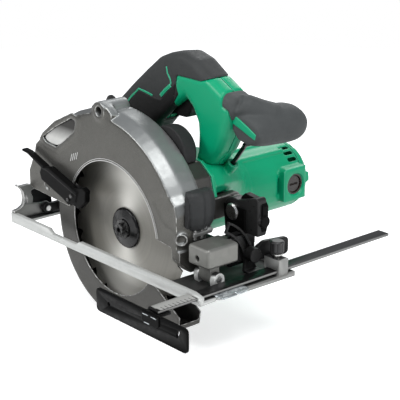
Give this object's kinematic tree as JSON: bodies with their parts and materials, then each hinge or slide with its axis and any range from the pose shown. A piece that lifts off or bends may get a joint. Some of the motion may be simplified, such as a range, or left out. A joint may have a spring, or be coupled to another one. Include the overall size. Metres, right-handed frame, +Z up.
{
  "type": "circular saw",
  "caption": "Corded circular saw with blade guards, D handle, front grip, tilting and height-adjusting sole and a parallel fence.",
  "frame": {"origin": "on the underside of the sole's wide side, level with the blade's axis and 56 mm from the blade's plane", "axes": "+X the cutting direction, +Y towards the motor's tail, +Z up from the sole"},
  "size_m": [0.3775, 0.3355, 0.2929],
  "materials": {
    "cast_grey": "satin warm grey paint on die-cast metal",
    "bright_cast": "machined",
    "black_steel": "black oxide",
    "steel": "brushed",
    "zinc": "zinc plated",
    "green_shell": "satin moulded",
    "black_plastic": "fine grained",
    "grey_rubber": "soft touch",
    "copper": "wound copper",
    "carbon": "sintered carbon",
    "clear": "clear moulded"
  },
  "bodies": {
    "base": {"base_plate": "bright_cast", "rear_bracket": "bright_cast", "front_pivot_pin": "steel", "rear_pivot_pin": "steel", "bevel_quadrant": "black_steel", "sight_plate": "zinc"},
    "fence": {"fence_bar": "black_steel", "fence_plate": "black_steel"},
    "fence_clamp": {"fence_knob": "black_plastic"},
    "tilt_frame": {"hinge_bracket": "cast_grey", "pivot_arm": "black_steel", "depth_pivot_pin": "steel", "bevel_bolt": "steel", "depth_link": "black_steel"},
    "bevel_clamp": {"bevel_lever": "black_plastic"},
    "saw_head": {"upper_guard": "cast_grey", "gear_cover": "cast_grey", "dust_elbow": "grey_rubber", "front_cap": "grey_rubber", "light_lens": "clear", "light_bracket": "bright_cast", "depth_lock_bolt": "steel", "guard_retaining_ring": "steel", "guard_spring": "steel", "spindle_bearing": "steel", "spindle_end_bearing": "steel", "armature_front_bearing": "steel", "armature_rear_bearing": "steel", "stator": "steel", "motor_housing": "green_shell", "tail_cover": "green_shell", "brush_cap_front": "black_plastic", "brush_cap_rear": "black_plastic", "carbon_brush_front": "carbon", "carbon_brush_rear": "carbon", "grip_sleeve": "black_plastic", "handle_near_half": "green_shell", "handle_far_half": "green_shell", "trigger_pin": "steel", "switch_body": "black_plastic", "front_grip": "grey_rubber", "hex_key": "black_steel", "cord_gland": "black_plastic"},
    "depth_clamp": {"depth_lock_lever": "black_plastic"},
    "lower_guard_body": {"lower_guard": "cast_grey", "guard_lever": "black_plastic"},
    "trigger_body": {"trigger": "black_plastic"},
    "blade_drive": {"saw_blade": "steel", "outer_flange": "black_steel", "inner_flange": "black_steel", "blade_bolt": "black_steel", "spindle": "steel", "driven_gear": "steel"},
    "armature": {"armature_shaft": "steel", "armature_core": "copper", "commutator": "copper", "cooling_fan": "black_plastic"}
  },
  "joints": [
    {"name": "bevel_tilt", "type": "hinge", "parent": "base", "child": "tilt_frame", "pos_m": [0, -0.056, 0.0105], "axis": [1, 0, 0], "range_deg": [0, 45]},
    {"name": "depth_swing", "type": "hinge", "parent": "tilt_frame", "child": "saw_head", "pos_m": [0.113, 0.0065, 0.063], "axis": [0, 1, 0], "range_deg": [0, 33]},
    {"name": "fence_slide", "type": "slide", "parent": "base", "child": "fence", "axis": [0, 1, 0], "range_m": [-0.15, 0.034]},
    {"name": "fence_knob_turn", "type": "hinge", "parent": "base", "child": "fence_clamp", "pos_m": [0.158, 0.0155, 0.03], "axis": [0, 0, 1], "continuous": true},
    {"name": "bevel_lever_turn", "type": "hinge", "parent": "tilt_frame", "child": "bevel_clamp", "pos_m": [0.134, -0.0058, 0.024], "axis": [1, 0, 0], "range_deg": [0, 25]},
    {"name": "depth_lever_turn", "type": "hinge", "parent": "saw_head", "child": "depth_clamp", "pos_m": [-0.07035, -0.03, 0.0475], "axis": [0, 1, 0], "range_deg": [0, 25]},
    {"name": "lower_guard_swing", "type": "hinge", "parent": "saw_head", "child": "lower_guard_body", "pos_m": [0, -0.056, 0.027], "axis": [0, 1, 0], "range_deg": [0, 140], "stiffness_Nm_per_rad": 0.12, "springref_deg": -143.24},
    {"name": "trigger_pull", "type": "hinge", "parent": "saw_head", "child": "trigger_body", "pos_m": [0.04, 0.0065, 0.186], "axis": [0, 1, 0], "range_deg": [0, 10], "stiffness_Nm_per_rad": 0.5, "springref_deg": -11.46},
    {"name": "blade_spin", "type": "hinge", "parent": "saw_head", "child": "blade_drive", "pos_m": [0, -0.056, 0.027], "axis": [0, 1, 0], "continuous": true},
    {"name": "armature_spin", "type": "hinge", "parent": "saw_head", "child": "armature", "pos_m": [0.01407, 0.143, 0.04826], "axis": [0, 1, 0], "continuous": true}
  ],
  "couplings": [
    {"joint": "armature_spin", "follows": "blade_spin", "ratio": -3.6364}
  ]
}
